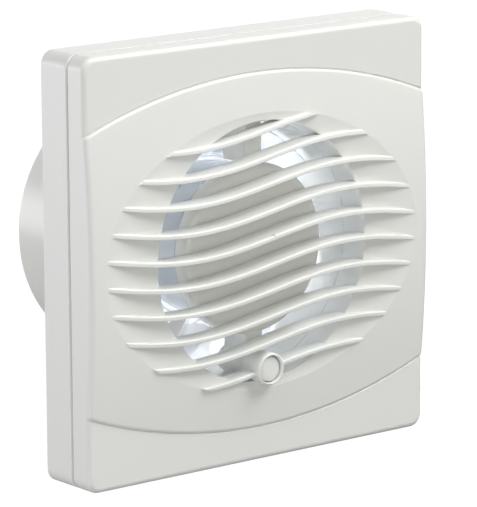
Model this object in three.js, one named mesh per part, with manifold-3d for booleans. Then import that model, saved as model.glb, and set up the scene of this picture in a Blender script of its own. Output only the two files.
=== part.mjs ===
// Bathroom extractor fan for a 100 mm duct: square wall casing, grille cover, duct housing and motor.
// Millimetres, +Z up, +Y into the wall, -Y into the room.
// The origin is the centre of the wall plane, which is the back face of the square casing.
import * as THREE from 'three';
import { mergeVertices } from 'three/addons/utils/BufferGeometryUtils.js';
import Module from 'manifold-3d';

const wasm = await Module();
wasm.setup();

// ---------- driving dimensions ----------
const CASING_SIZE = 155; // width and height of cover and casing
const CORNER_R = 5;
const CASING_DEPTH = 25; // wall plane to the flat part of the cover's front
const GROOVE_MIDDLE = 15.25; // shadow gap between cover and casing, distance from the wall plane
const GROOVE_WIDTH = 1.3;
const DUCT_R = 49.4; // outside of the spigot, for nominal 100 mm duct
const DUCT_WALL = 1.8;
const SPIGOT_LENGTH = 55; // behind the wall plane
const FIT_GAP = 0.3; // between pieces that rest on each other
const PRESS_GAP = 0.1; // between a shaft and what is pressed on it
const RUNNING_GAP = 0.06; // between the shaft and a bearing's bore

const COVER_WALL = 2.2;
const SKIRT_WALL = 2;
const EDGE_ROUND = 2; // rounding of the cover's front edge
const ARC_R = 208; // circles that bound the crowned band above and below
const ARC_APEX = 64.8; // height of each arc on the centre line
const CROWN_STEP = 0.6; // step at the arcs
const CROWN_R = 496; // radius of the crown from top to bottom
const DISH_HALF_WIDTH = 71.5; // ellipse of the shallow dish around the grille
const DISH_HALF_HEIGHT = 50.2;
const DISH_DIP = 1.2;
const DISH_FALL = 3; // the dish falls to the rim over the outer 1/3 of the ellipse
const BAND_INSET = 0.6; // the crowned band stops this far short of the cover's sides
const OPENING_R = 47.4;
const RIM_HEIGHT = 2; // the opening's rim stands this far in front of the flat face
const COLLAR_WALL = 1.8;
const COLLAR_LIFT = 0.4; // the collar ends this far in front of the skirt's edge

const LOUVRE_COUNT = 10;
const LOUVRE_PITCH = 9.7;
const LOUVRE_RISE = 0.7; // the row's middle lies this far above the duct axis
const LOUVRE_THICKNESS = 1.8;
const LOUVRE_STEPS = 12; // facets along a louvre
const LOUVRE_DOME = 3; // louvre fronts swell this far in front of the crown at the centre
const DOME_R = 70;
const WAVE_HEIGHT = 4.05;
const WAVE_HALF_LENGTH = 70;

const BOSS_Z = -42.7; // cover screw below the duct axis
const BOSS_R = 6;
const BOSS_FRONT = 31.5; // distance of its face from the wall plane
const BOSS_RECESS_R = 4.9;
const BOSS_RECESS_DEPTH = 6;
const COVER_SCREW_R = 1.6;
const COVER_SCREW_END = -8;
const CAP_R = 4.6;
const CAP_DEPTH = 2.6;
const CAP_FACE_WALL = 0.9;
const CAP_SIDE_WALL = 0.5;

const CUP_R = 31.3; // motor cup, facing the room
const CUP_FRONT = 22; // distance of its face from the wall plane
const CUP_DEPTH = 6.5;
const CUP_WALL = 1.8;
const SLEEVE_R = 28; // sleeve behind the cup's face that holds the stator
const SLEEVE_END = 4;
const STRUT_WIDTH = 7.6;
const STRUT_DEPTH = 13;
const STRUT_WALL = 1.7;

const STACK_FRONT = -12; // lamination stack along the shaft
const STACK_REAR = 0;
const STATOR_R = 25.8;
const YOKE_R = 21;
const POLE_WIDTH = 10;
const AIR_GAP_R = 11;
const ROTOR_R = 10.4;
const SHAFT_R = 2;
const BEARING_R = 4.5;
const BEARING_LENGTH = 4;
const MOTOR_SCREW_RADIUS = 23.4; // distance of the motor screws from the axis
const MOTOR_SCREW_R = 1.2;
const MOTOR_SCREW_ANGLES = [45, 225];
const COIL_SPAN = [14.6, 19]; // nearest and furthest distance of a coil from the axis
const COIL_WALL = 2.6;
const SHADE_SPAN = [12.1, 13.5]; // the same for a shading ring
const END_RING_DEPTH = 2.3;

const HUB_R = 31;
const HUB_WALL = 1.8;
const HUB_FRONT = -14.8;
const HUB_REAR = 14.5;
const HUB_BOSS_R = 5;
const HUB_BOSS_END = 22;
const SHAFT_END = 25;
const BLADE_COUNT = 7;
const BLADE_TIP_R = 46.2;
const BLADE_THICKNESS = 1.6;
const BLADE_MIDDLE = 3.6; // centre of the blades along the shaft
const BLADE_SWEEP = [46, 40]; // degrees about the shaft, at root and tip
const BLADE_LENGTH = [19.5, 15]; // along the shaft, at root and tip
const BLADE_CAMBER = 2;

const EAR_RADIUS = 54; // housing screws, distance from the axis, on the diagonals
const EAR_R = 4.5;
const EAR_WALL = 2.5;
const EAR_SEAT = -6.2; // front of the casing's bosses under the ears
const HOUSING_SCREW_R = 1.5;
const FIXING_X = 64; // slots for the wall screws
const FIXING_Z = 26;
const FIXING_HALF_LENGTH = 4.4;
const FIXING_R = 2.4;
const ENTRY_X = 32; // cable entry
const ENTRY_Z = 66;
const ENTRY_HALF_LENGTH = 7;
const ENTRY_R = 4.5;
const BLOCK_X = 58; // terminal block in the upper right corner
const BLOCK_Z = 62;
const BLOCK_HALF_WIDTH = 8;
const BLOCK_HALF_HEIGHT = 6;
const BLOCK_FRONT = -17;
const BLOCK_SEAT = -5;
const WAY_PITCH = 8;
const LEAD_R = 0.9;
const LEAD_SPACING = 1.06; // half the distance between the two leads in the strut
const LEAD_Y = -10.5; // height of the block's wire holes
const LEAD_OVER_DUCT = -12.4;
const LEAD_IN_STRUT = -17.6;
const CLAMP_X = 46;
const CLAMP_HALF_WIDTH = 3;
const CLAMP_FRONT = -11.3;
const CLAMP_REAR = -8.3;
const CLAMP_SCREW_Z = [59, 71.2];
const CLAMP_SCREW_R = 1;
const TONGUE_X = [-61, 61]; // tongues on the cover that enter the casing's upper wall
const TONGUE_HALF_WIDTH = 6;
const TONGUE_Z = [70.7, 72.2];
const PLATE_WALL = 2.5; // back plate of the casing
const LIP_INSET = 2.3; // the casing's lip stands this far inside its sides
const LIP_WALL = 1.5;
const LIP_HEIGHT = 3.8;
const PILLAR_R = 5.2; // post behind the cover's boss
const FAR = 60; // cutters reach this far past what they cut

const ROUND = 36; // facets on large round pieces
const SMALL_ROUND = 18;
const SCREW_ROUND = 8;

// ---------- materials ----------
function finish(color, roughness, metalness) {
  return new THREE.MeshStandardMaterial({ color, roughness, metalness });
}
const plastic = (color, roughness) => finish(color, roughness, 0);
const metal = (color, roughness) => finish(color, roughness, 1);
const WHITE_PLASTIC = plastic(0xe4e4e0, 0.3);
const CREAM_PLASTIC = plastic(0xdfdcd0, 0.35);
const CLEAR_PLASTIC = new THREE.MeshStandardMaterial({
  color: 0xcfdde8, roughness: 0.08, metalness: 0, transparent: true, opacity: 0.4,
});
const BLOCK_PLASTIC = plastic(0xd8d6cc, 0.45);
const STEEL = metal(0x9a9ca0, 0.3);
const LAMINATION = metal(0x6c6f73, 0.5);
const COPPER = metal(0xb26a3c, 0.35);
const ALUMINIUM = metal(0xb4b6b9, 0.45);
const BRONZE = metal(0x9c7a45, 0.5);
const BRASS = metal(0xb99a55, 0.35);
const BROWN_LEAD = plastic(0x5a3420, 0.5);
const BLUE_LEAD = plastic(0x2f5f9a, 0.5);

// ---------- solids ----------
function signedVolume(positions, triangles) {
  const corner = (index) => new THREE.Vector3().fromArray(positions, 3 * index);
  let volume = 0;
  for (let i = 0; i < triangles.length; i += 3) {
    const [a, b, c] = [0, 1, 2].map((k) => corner(triangles[i + k]));
    volume += a.dot(b.cross(c)) / 6;
  }
  return volume;
}

// A closed geometry as a manifold solid, with its faces pointing out.
function solid(geometry) {
  const bare = geometry.clone();
  bare.deleteAttribute('normal');
  bare.deleteAttribute('uv');
  const merged = mergeVertices(bare, 1e-4);
  const positions = new Float32Array(merged.attributes.position.array);
  const index = merged.index.array;
  const triangles = [];
  for (let i = 0; i < index.length; i += 3) {
    const [a, b, c] = [index[i], index[i + 1], index[i + 2]];
    if (a !== b && b !== c && c !== a) triangles.push(a, b, c);
  }
  if (signedVolume(positions, triangles) < 0) triangles.reverse();
  return new wasm.Manifold(new wasm.Mesh({
    numProp: 3, vertProperties: positions, triVerts: new Uint32Array(triangles),
  }));
}

const fan = new THREE.Group();

function addPiece(name, material, piece) {
  const mesh = piece.getMesh();
  const geometry = new THREE.BufferGeometry();
  geometry.setAttribute('position', new THREE.BufferAttribute(new Float32Array(mesh.vertProperties), 3));
  geometry.setIndex(new THREE.BufferAttribute(new Uint32Array(mesh.triVerts), 1));
  geometry.computeVertexNormals();
  const node = new THREE.Mesh(geometry, material);
  node.name = name;
  fan.add(node);
}

const joined = (pieces) => pieces.reduce((whole, piece) => whole.add(piece));
const cutBy = (piece, cutters) => cutters.reduce((rest, cutter) => rest.subtract(cutter), piece);

// A profile of [radius, y] points turned about the Y axis.
function turned(profile, segments = ROUND) {
  const points = profile.map(([radius, y]) => new THREE.Vector2(radius, y));
  return solid(new THREE.LatheGeometry(points, segments));
}

function ring(innerR, outerR, front, rear, segments = ROUND) {
  const profile = [[innerR, front], [outerR, front], [outerR, rear], [innerR, rear], [innerR, front]];
  return turned(profile, segments);
}

function rod(radius, front, rear, x = 0, z = 0, segments = SCREW_ROUND) {
  return turned([[0, front], [radius, front], [radius, rear], [0, rear]], segments).translate([x, 0, z]);
}

function block([x0, x1], [y0, y1], [z0, z1]) {
  const box = new THREE.BoxGeometry(x1 - x0, y1 - y0, z1 - z0);
  return solid(box.translate((x0 + x1) / 2, (y0 + y1) / 2, (z0 + z1) / 2));
}

// An outline in the X-Z plane, extruded along Y.
function slab(outline, front, rear) {
  const options = { depth: rear - front, bevelEnabled: false, curveSegments: 4 };
  const extruded = new THREE.ExtrudeGeometry(outline, options);
  return solid(extruded.rotateX(Math.PI / 2).translate(0, rear, 0));
}

function roundedSquare(size, radius) {
  const half = size / 2;
  const outline = new THREE.Shape();
  outline.moveTo(-half + radius, -half);
  outline.lineTo(half - radius, -half);
  outline.absarc(half - radius, -half + radius, radius, -Math.PI / 2, 0);
  outline.absarc(half - radius, half - radius, radius, 0, Math.PI / 2);
  outline.absarc(-half + radius, half - radius, radius, Math.PI / 2, Math.PI);
  outline.absarc(-half + radius, -half + radius, radius, Math.PI, 1.5 * Math.PI);
  return outline;
}

function roundEndedSlot(x, z, halfLength, radius) {
  const outline = new THREE.Shape();
  outline.absarc(x + halfLength - radius, z, radius, -Math.PI / 2, Math.PI / 2);
  outline.absarc(x - halfLength + radius, z, radius, Math.PI / 2, 1.5 * Math.PI);
  return outline;
}

// A geometry whose every corner is moved by a function.
function mapped(geometry, place) {
  const position = geometry.attributes.position;
  const point = new THREE.Vector3();
  for (let i = 0; i < position.count; i += 1) {
    point.fromBufferAttribute(position, i);
    const [x, y, z] = place(point.x, point.y, point.z);
    position.setXYZ(i, x, y, z);
  }
  return solid(geometry);
}

const repeated = (count, make) => Array.from({ length: count }, (_, i) => make(i));
const aroundAxis = (count, make) => repeated(count, (i) => make((360 * i) / count));

// ---------- front cover ----------
const FACE_Y = -CASING_DEPTH;
const SKIRT_END = -(GROOVE_MIDDLE + GROOVE_WIDTH / 2);
const CASING_FRONT = -(GROOVE_MIDDLE - GROOVE_WIDTH / 2);
const LOUVRE_REAR = -(CUP_FRONT + 0.8);

const arcHeight = (x) => ARC_APEX - ARC_R + Math.sqrt(ARC_R ** 2 - x ** 2);
const crownY = (x, z) => FACE_Y - CROWN_STEP - (arcHeight(x) ** 2 - z ** 2) / (2 * CROWN_R);
const grilleY = (x, z) => crownY(x, z) - LOUVRE_DOME * (1 - (x ** 2 + z ** 2) / DOME_R ** 2);
const waveZ = (x) => WAVE_HEIGHT * Math.sin((Math.PI * x) / WAVE_HALF_LENGTH);

function dishY(x, z) {
  const edge = Math.sqrt((x / DISH_HALF_WIDTH) ** 2 + (z / DISH_HALF_HEIGHT) ** 2);
  const away = Math.min(1, Math.max(0, 1 - edge) * DISH_FALL);
  return THREE.MathUtils.lerp(crownY(x, z) + DISH_DIP * away, FACE_Y - RIM_HEIGHT, away);
}

function crownBand() {
  const band = new THREE.BoxGeometry(CASING_SIZE - 2 * BAND_INSET, 1, 2, 10, 1, 8);
  return mapped(band, (x, y, v) => {
    const z = v * arcHeight(x);
    return [x, y < 0 ? crownY(x, z) : FACE_Y + 1, z];
  });
}

// An elliptical disc whose front or rear face follows a surface.
function ellipticalSolid(frontY, rearY) {
  const rings = [0.5, 0.68, 0.85].map((r) => [r, -1]);
  const profile = [[0, -1], ...rings, [1, -1], [1, 1], ...rings.map(([r]) => [r, 1]).reverse(), [0, 1]];
  const points = profile.map(([radius, y]) => new THREE.Vector2(radius, y));
  return mapped(new THREE.LatheGeometry(points, ROUND), (x, y, z) => {
    const [px, pz] = [x * DISH_HALF_WIDTH, z * DISH_HALF_HEIGHT];
    return [px, y < 0 ? frontY(px, pz) : rearY(px, pz), pz];
  });
}

function louvre(middleZ) {
  const outline = new THREE.Shape();
  const edge = (side) => repeated(LOUVRE_STEPS + 1, (i) => {
    const x = side * (2 * i / LOUVRE_STEPS - 1) * DISH_HALF_WIDTH;
    return [x, middleZ + waveZ(x) - side * LOUVRE_THICKNESS / 2];
  });
  [...edge(1), ...edge(-1)].forEach(([x, z], i) => (i ? outline.lineTo(x, z) : outline.moveTo(x, z)));
  return slab(outline, -FAR, LOUVRE_REAR);
}

function grille() {
  const louvres = repeated(LOUVRE_COUNT, (i) => {
    return louvre(LOUVRE_RISE + LOUVRE_PITCH * ((LOUVRE_COUNT - 1) / 2 - i));
  });
  return joined(louvres).intersect(ellipticalSolid(grilleY, () => LOUVRE_REAR));
}

function coverShell() {
  const outline = roundedSquare(CASING_SIZE - 2 * EDGE_ROUND, CORNER_R - EDGE_ROUND);
  const bevelled = new THREE.ExtrudeGeometry(outline, {
    depth: CASING_DEPTH, bevelThickness: EDGE_ROUND, bevelSize: EDGE_ROUND,
    bevelSegments: 2, curveSegments: 3,
  });
  const front = solid(bevelled.rotateX(Math.PI / 2).translate(0, EDGE_ROUND, 0));
  const behind = block([-CASING_SIZE, CASING_SIZE], [SKIRT_END, FAR], [-CASING_SIZE, CASING_SIZE]);
  const inside = slab(
    roundedSquare(CASING_SIZE - 2 * SKIRT_WALL, CORNER_R - SKIRT_WALL), FACE_Y + COVER_WALL, FAR,
  );
  return cutBy(front, [behind]).add(crownBand()).subtract(inside);
}

function frontCover() {
  const dish = ellipticalSolid(() => -FAR, dishY);
  const opening = rod(OPENING_R, -FAR, 0, 0, 0, ROUND);
  const collar = ring(OPENING_R, OPENING_R + COLLAR_WALL, FACE_Y, SKIRT_END - COLLAR_LIFT);
  const boss = rod(BOSS_R, -BOSS_FRONT, -CUP_FRONT, 0, BOSS_Z, SMALL_ROUND);
  const recess = rod(BOSS_RECESS_R, -FAR, BOSS_RECESS_DEPTH - BOSS_FRONT, 0, BOSS_Z, SMALL_ROUND);
  const screwHole = rod(COVER_SCREW_R + 2 * FIT_GAP, -FAR, 0, 0, BOSS_Z, SMALL_ROUND);
  const tongues = TONGUE_X.map((x) => {
    return block([x - TONGUE_HALF_WIDTH, x + TONGUE_HALF_WIDTH], [FACE_Y + 1, CASING_FRONT + 4], TONGUE_Z);
  });
  const shell = joined([cutBy(coverShell(), [dish, opening]), collar, ...tongues, grille(), boss]);
  return cutBy(shell, [recess, screwHole]);
}

addPiece('front_cover', WHITE_PLASTIC, frontCover());

const CAP_FACE = -BOSS_FRONT + 0.8;
const CAP_INNER_R = CAP_R - CAP_SIDE_WALL;
const SEAT_GAP = 0.05; // between a screw's head and its seat
const SCREW_SEAT = BOSS_RECESS_DEPTH - BOSS_FRONT - SEAT_GAP;
addPiece('screw_cap', WHITE_PLASTIC, turned([
  [0, CAP_FACE], [CAP_R - 0.3, CAP_FACE], [CAP_R, CAP_FACE + 0.3],
  [CAP_R, CAP_FACE + CAP_DEPTH], [CAP_INNER_R, CAP_FACE + CAP_DEPTH],
  [CAP_INNER_R, CAP_FACE + CAP_FACE_WALL], [0, CAP_FACE + CAP_FACE_WALL],
], SMALL_ROUND).translate([0, 0, BOSS_Z]));

// A pan-head screw whose head rests at seatY and whose shank runs to endY.
function screw(radius, headR, headHeight, seatY, endY, x, z) {
  const side = Math.sign(endY - seatY);
  const top = seatY - side * headHeight;
  return turned([
    [0, top], [headR * 0.75, top], [headR, top + side * headHeight * 0.4], [headR, seatY],
    [radius, seatY], [radius, endY - side * radius], [0, endY],
  ], SCREW_ROUND).translate([x, 0, z]);
}

addPiece('cover_screw', STEEL, screw(COVER_SCREW_R, 3.7, 2.2, SCREW_SEAT, COVER_SCREW_END, 0, BOSS_Z));

// ---------- back casing ----------
const EAR_REAR = EAR_SEAT - FIT_GAP;
const EAR_FRONT = EAR_REAR - EAR_WALL;
const diagonals = aroundAxis(4, (degrees) => {
  const angle = THREE.MathUtils.degToRad(degrees + 45);
  return [Math.cos(angle), Math.sin(angle)];
});

function backCasing() {
  const tray = slab(roundedSquare(CASING_SIZE, CORNER_R), CASING_FRONT, 0);
  const lipOutline = roundedSquare(CASING_SIZE - 2 * LIP_INSET, CORNER_R - LIP_INSET);
  const lip = slab(lipOutline, CASING_FRONT - LIP_HEIGHT, -1);
  const lipInset = LIP_INSET + LIP_WALL;
  const inside = slab(roundedSquare(CASING_SIZE - 2 * lipInset, CORNER_R - lipInset), -FAR, -PLATE_WALL);
  const ductHole = rod(DUCT_R + FIT_GAP, -FAR, FAR, 0, 0, ROUND);
  const screwBosses = diagonals.map(([x, z]) => {
    return rod(EAR_R, EAR_SEAT, -1, x * EAR_RADIUS, z * EAR_RADIUS);
  });
  const pilots = diagonals.map(([x, z]) => {
    return rod(HOUSING_SCREW_R + FIT_GAP, -FAR, -1.2, x * EAR_RADIUS, z * EAR_RADIUS);
  });
  const fixings = diagonals.map(([x, z]) => {
    const [slotX, slotZ] = [Math.sign(x) * FIXING_X, Math.sign(z) * FIXING_Z];
    return slab(roundEndedSlot(slotX, slotZ, FIXING_HALF_LENGTH, FIXING_R), -10, 1);
  });
  const cableEntry = slab(roundEndedSlot(ENTRY_X, ENTRY_Z, ENTRY_HALF_LENGTH, ENTRY_R), -10, 1);
  const tongueSlots = TONGUE_X.map((x) => {
    const width = [x - TONGUE_HALF_WIDTH - 1, x + TONGUE_HALF_WIDTH + 1];
    return block(width, [-FAR, -PLATE_WALL], [TONGUE_Z[0] - 0.5, TONGUE_Z[1] + 1.7]);
  });
  const clampPosts = CLAMP_SCREW_Z.map((z) => rod(2.6, CLAMP_REAR + FIT_GAP, -1, CLAMP_X, z));
  const clampPilots = CLAMP_SCREW_Z.map((z) => rod(CLAMP_SCREW_R + FIT_GAP, -10, -1.2, CLAMP_X, z));
  const seatX = [BLOCK_X - BLOCK_HALF_WIDTH - 1, BLOCK_X + BLOCK_HALF_WIDTH + 1];
  const seatZ = [BLOCK_Z - BLOCK_HALF_HEIGHT - 1, BLOCK_Z + BLOCK_HALF_HEIGHT + 1];
  const blockSeat = block(seatX, [BLOCK_SEAT, -2], seatZ);
  const body = joined([cutBy(tray.add(lip), [inside]), ...screwBosses, ...clampPosts, blockSeat]);
  return cutBy(body, [ductHole, cableEntry, ...tongueSlots, ...fixings, ...pilots, ...clampPilots]);
}

addPiece('back_casing', WHITE_PLASTIC, backCasing());

// ---------- duct housing with struts and motor cup ----------
const DUCT_INNER_R = DUCT_R - DUCT_WALL;
const DUCT_FRONT = SKIRT_END - COLLAR_LIFT + FIT_GAP + 0.5;
const STRUT_FRONT = -CUP_FRONT + 0.5;
const STRUT_REAR = STRUT_FRONT + STRUT_DEPTH;
const CUP_REAR = -CUP_FRONT + CUP_DEPTH;
const CUP_INSIDE = -CUP_FRONT + 2;

function motorCup() {
  const [skirtR, sleeveInnerR, bossR] = [CUP_R - CUP_WALL, STATOR_R + FIT_GAP, BEARING_R + 2];
  const pocketR = BEARING_R + FIT_GAP;
  return turned([
    [0, -CUP_FRONT], [CUP_R - 2.5, -CUP_FRONT], [CUP_R - 0.7, -CUP_FRONT + 0.8], [CUP_R, -CUP_FRONT + 2.5],
    [CUP_R, CUP_REAR], [skirtR, CUP_REAR], [skirtR, CUP_INSIDE], [SLEEVE_R, CUP_INSIDE],
    [SLEEVE_R, SLEEVE_END], [sleeveInnerR, SLEEVE_END], [sleeveInnerR, CUP_INSIDE], [bossR, CUP_INSIDE],
    [bossR, CUP_REAR], [pocketR, CUP_REAR], [pocketR, CUP_INSIDE + 0.2], [0, CUP_INSIDE + 0.2],
  ]);
}

function strut(side) {
  const reach = [CUP_R - 1.5, DUCT_R - 0.5].map((r) => side * r).sort((a, b) => a - b);
  const half = STRUT_WIDTH / 2;
  const beam = block([-half, half], [STRUT_FRONT, STRUT_REAR], reach);
  const channel = block([-half + STRUT_WALL, half - STRUT_WALL], [STRUT_FRONT + 2, 0], reach);
  return beam.subtract(channel);
}

// A rod at each of the motor screws.
const atMotorScrews = (radius, front, rear) => MOTOR_SCREW_ANGLES.map((degrees) => {
  return rod(radius, front, rear, MOTOR_SCREW_RADIUS, 0).rotate([0, -degrees, 0]);
});

function ductHousing() {
  const tube = ring(DUCT_INNER_R, DUCT_R, DUCT_FRONT, SPIGOT_LENGTH);
  const ears = diagonals.map(([x, z]) => {
    return rod(EAR_R, EAR_FRONT, EAR_REAR, x * EAR_RADIUS, z * EAR_RADIUS);
  });
  const webs = aroundAxis(4, (degrees) => {
    const web = block([DUCT_INNER_R + 0.4, EAR_RADIUS], [EAR_FRONT, EAR_REAR], [-EAR_R, EAR_R]);
    return web.rotate([0, degrees + 45, 0]);
  });
  const pillar = rod(PILLAR_R, STRUT_FRONT, -6, 0, BOSS_Z, SMALL_ROUND);
  const screwPosts = atMotorScrews(3, CUP_INSIDE - 1, STACK_FRONT - FIT_GAP);
  const hubSpace = rod(HUB_R + 1, CUP_REAR, FAR, 0, 0, ROUND);
  const collarSpace = ring(OPENING_R - FIT_GAP, DUCT_R + 5, -FAR, DUCT_FRONT);
  const braces = cutBy(joined([strut(1), strut(-1), pillar]), [hubSpace, collarSpace]);
  const whole = joined([tube, motorCup(), braces, ...ears, ...webs, ...screwPosts]);

  const screwPilots = atMotorScrews(MOTOR_SCREW_R + FIT_GAP, CUP_INSIDE - 0.8, FAR);
  const earHoles = diagonals.map(([x, z]) => rod(2.2, -FAR, 0, x * EAR_RADIUS, z * EAR_RADIUS));
  const coverPilot = rod(COVER_SCREW_R + FIT_GAP, -FAR, COVER_SCREW_END + 1, 0, BOSS_Z, SMALL_ROUND);
  const half = STRUT_WIDTH / 2 - STRUT_WALL;
  const leadWindow = block([-half, half], [CUP_INSIDE + 0.3, CUP_REAR + 0.5], [COIL_SPAN[1] + 1, CUP_R + 1]);
  const leadNotch = block([-half, half], [DUCT_FRONT - 1, STRUT_REAR - 1], [DUCT_INNER_R - 1, DUCT_R + 1]);
  return cutBy(whole, [...screwPilots, ...earHoles, coverPilot, leadWindow, leadNotch]);
}

addPiece('duct_housing', CREAM_PLASTIC, ductHousing());
diagonals.forEach(([x, z], i) => {
  const [screwX, screwZ] = [x * EAR_RADIUS, z * EAR_RADIUS];
  const housingScrew = screw(HOUSING_SCREW_R, 3.2, 2.2, EAR_FRONT - SEAT_GAP, -2, screwX, screwZ);
  addPiece(`housing_screw_${i + 1}`, STEEL, housingScrew);
});

// ---------- motor ----------
const PLATE_FRONT = SLEEVE_END + FIT_GAP;
const PLATE_REAR = PLATE_FRONT + 2;
const BEARING_BOSS_END = PLATE_REAR + 4.7;
const BEARING_CAP = 1.5; // wall behind the rear bearing

function motorEndPlate() {
  const [bossR, pocketR, shaftHoleR] = [BEARING_R + 2, BEARING_R + FIT_GAP, SHAFT_R + 0.4];
  const plate = turned([
    [shaftHoleR, BEARING_BOSS_END], [shaftHoleR, BEARING_BOSS_END - BEARING_CAP],
    [pocketR, BEARING_BOSS_END - BEARING_CAP], [pocketR, PLATE_FRONT], [SLEEVE_R, PLATE_FRONT],
    [SLEEVE_R, PLATE_REAR], [bossR, PLATE_REAR], [bossR, BEARING_BOSS_END], [shaftHoleR, BEARING_BOSS_END],
  ]);
  return cutBy(plate, atMotorScrews(MOTOR_SCREW_R + FIT_GAP, 0, FAR));
}

const SLIT = [2, 3.6]; // the slit in each pole face that takes its shading ring

function statorCore() {
  const yoke = ring(YOKE_R, STATOR_R, STACK_FRONT, STACK_REAR);
  const poles = aroundAxis(4, (degrees) => {
    const half = POLE_WIDTH / 2;
    const pole = block([AIR_GAP_R - 2, YOKE_R + 1], [STACK_FRONT, STACK_REAR], [-half, half]);
    const slit = block([AIR_GAP_R - 3, AIR_GAP_R + 3], [STACK_FRONT - 1, STACK_REAR + 1], SLIT);
    return pole.subtract(slit).rotate([0, degrees, 0]);
  });
  const bore = rod(AIR_GAP_R, STACK_FRONT - 1, STACK_REAR + 1, 0, 0, ROUND);
  const screwHoles = atMotorScrews(MOTOR_SCREW_R + FIT_GAP, -FAR, FAR);
  return cutBy(joined([yoke, ...poles]), [bore, ...screwHoles]);
}

// A rectangular loop around a pole, in the plane square to the pole.
function loop([r0, r1], outer, inner) {
  const [outerY, outerZ] = outer;
  const [innerY, innerZ] = inner;
  return block([r0, r1], outerY, outerZ).subtract(block([r0 - 1, r1 + 1], innerY, innerZ));
}

// The range widened by the same amount at both ends.
const wider = ([low, high], extra) => [low - extra, high + extra];
const STACK = [STACK_FRONT, STACK_REAR];
const POLE = [-POLE_WIDTH / 2, POLE_WIDTH / 2];
const coilInner = [wider(STACK, 0.4), wider(POLE, 0.4)];
const coilOuter = coilInner.map((range) => wider(range, COIL_WALL));
const shadeInner = [wider(STACK, FIT_GAP), [3.4, 5.3]];
const shadeOuter = [wider(STACK, 1.5), [2.2, 6.5]];

addPiece('motor_end_plate', WHITE_PLASTIC, motorEndPlate());
addPiece('stator_core', LAMINATION, statorCore());
for (const [i, degrees] of [0, 90, 180, 270].entries()) {
  const coil = loop(COIL_SPAN, coilOuter, coilInner);
  const shadingRing = loop(SHADE_SPAN, shadeOuter, shadeInner);
  addPiece(`coil_${i + 1}`, COPPER, coil.rotate([0, degrees, 0]));
  addPiece(`shading_ring_${i + 1}`, COPPER, shadingRing.rotate([0, degrees, 0]));
}
for (const [i, degrees] of MOTOR_SCREW_ANGLES.entries()) {
  const seat = PLATE_REAR + SEAT_GAP;
  const motorScrew = screw(MOTOR_SCREW_R, 2.4, 1.6, seat, STACK_FRONT - 6, MOTOR_SCREW_RADIUS, 0);
  addPiece(`motor_screw_${i + 1}`, STEEL, motorScrew.rotate([0, -degrees, 0]));
}
const bearing = (front) => ring(SHAFT_R + RUNNING_GAP, BEARING_R, front, front + BEARING_LENGTH, SMALL_ROUND);
addPiece('front_bearing', BRONZE, bearing(CUP_INSIDE + 0.4));
addPiece('rear_bearing', BRONZE, bearing(BEARING_BOSS_END - BEARING_CAP - BEARING_LENGTH - 0.2));
addPiece('motor_shaft', STEEL, rod(SHAFT_R, CUP_INSIDE + 0.6, SHAFT_END, 0, 0, SMALL_ROUND));
addPiece('rotor_core', LAMINATION, ring(SHAFT_R + PRESS_GAP, ROTOR_R, STACK_FRONT, STACK_REAR, ROUND));
const endRing = (front) => ring(5, ROTOR_R - 0.6, front, front + END_RING_DEPTH, SMALL_ROUND);
addPiece('rotor_end_ring_front', ALUMINIUM, endRing(STACK_FRONT - END_RING_DEPTH - FIT_GAP));
addPiece('rotor_end_ring_rear', ALUMINIUM, endRing(STACK_REAR + FIT_GAP));

// ---------- impeller ----------
const BLADE_SPAN = [HUB_R - 0.8, BLADE_TIP_R];

// One twisted, cambered blade, from inside the hub's wall to its tip.
function blade(turn) {
  const box = new THREE.BoxGeometry(1, BLADE_THICKNESS, 1, 3, 1, 4);
  return mapped(box, (s, offset, c) => {
    const along = ([root, tip]) => THREE.MathUtils.lerp(root, tip, s + 0.5);
    const radius = along(BLADE_SPAN);
    const angle = THREE.MathUtils.degToRad(turn + c * along(BLADE_SWEEP));
    const camber = BLADE_CAMBER * (0.25 - c ** 2);
    const y = BLADE_MIDDLE + c * along(BLADE_LENGTH) + camber + offset;
    return [radius * Math.cos(angle), y, radius * Math.sin(angle)];
  });
}

function impeller() {
  const [innerR, boreR] = [HUB_R - HUB_WALL, SHAFT_R + PRESS_GAP];
  const hub = turned([
    [boreR, BEARING_BOSS_END + 1], [HUB_BOSS_R, BEARING_BOSS_END + 1], [HUB_BOSS_R, HUB_REAR - 2],
    [innerR - 2, HUB_REAR - 2], [innerR, HUB_REAR - 4], [innerR, HUB_FRONT], [HUB_R, HUB_FRONT],
    [HUB_R, HUB_REAR - 3], [HUB_R - 3, HUB_REAR], [HUB_BOSS_R, HUB_REAR], [HUB_BOSS_R, HUB_BOSS_END],
    [boreR, HUB_BOSS_END], [boreR, BEARING_BOSS_END + 1],
  ]);
  return joined([hub, ...aroundAxis(BLADE_COUNT, blade)]);
}

addPiece('impeller', CLEAR_PLASTIC, impeller());
const CLIP_FRONT = HUB_BOSS_END + FIT_GAP;
addPiece('impeller_clip', STEEL, ring(SHAFT_R + PRESS_GAP, 4.4, CLIP_FRONT, CLIP_FRONT + 1, SMALL_ROUND));

// ---------- terminal block, cable clamp and leads ----------
const ways = [-WAY_PITCH / 2, WAY_PITCH / 2];

function terminalBlock() {
  const width = [BLOCK_X - BLOCK_HALF_WIDTH, BLOCK_X + BLOCK_HALF_WIDTH];
  const height = [BLOCK_Z - BLOCK_HALF_HEIGHT, BLOCK_Z + BLOCK_HALF_HEIGHT];
  const body = block(width, [BLOCK_FRONT, BLOCK_SEAT - FIT_GAP], height);
  const screwWells = ways.map((x) => rod(2.4, BLOCK_FRONT - 1, BLOCK_FRONT + 3, BLOCK_X + x, BLOCK_Z));
  const wireHoles = ways.map((x) => {
    return rod(LEAD_R + 0.4, height[0] - 1, height[1] + 1, BLOCK_X + x, -LEAD_Y).rotate([90, 0, 0]);
  });
  return cutBy(body, [...screwWells, ...wireHoles]);
}

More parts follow.
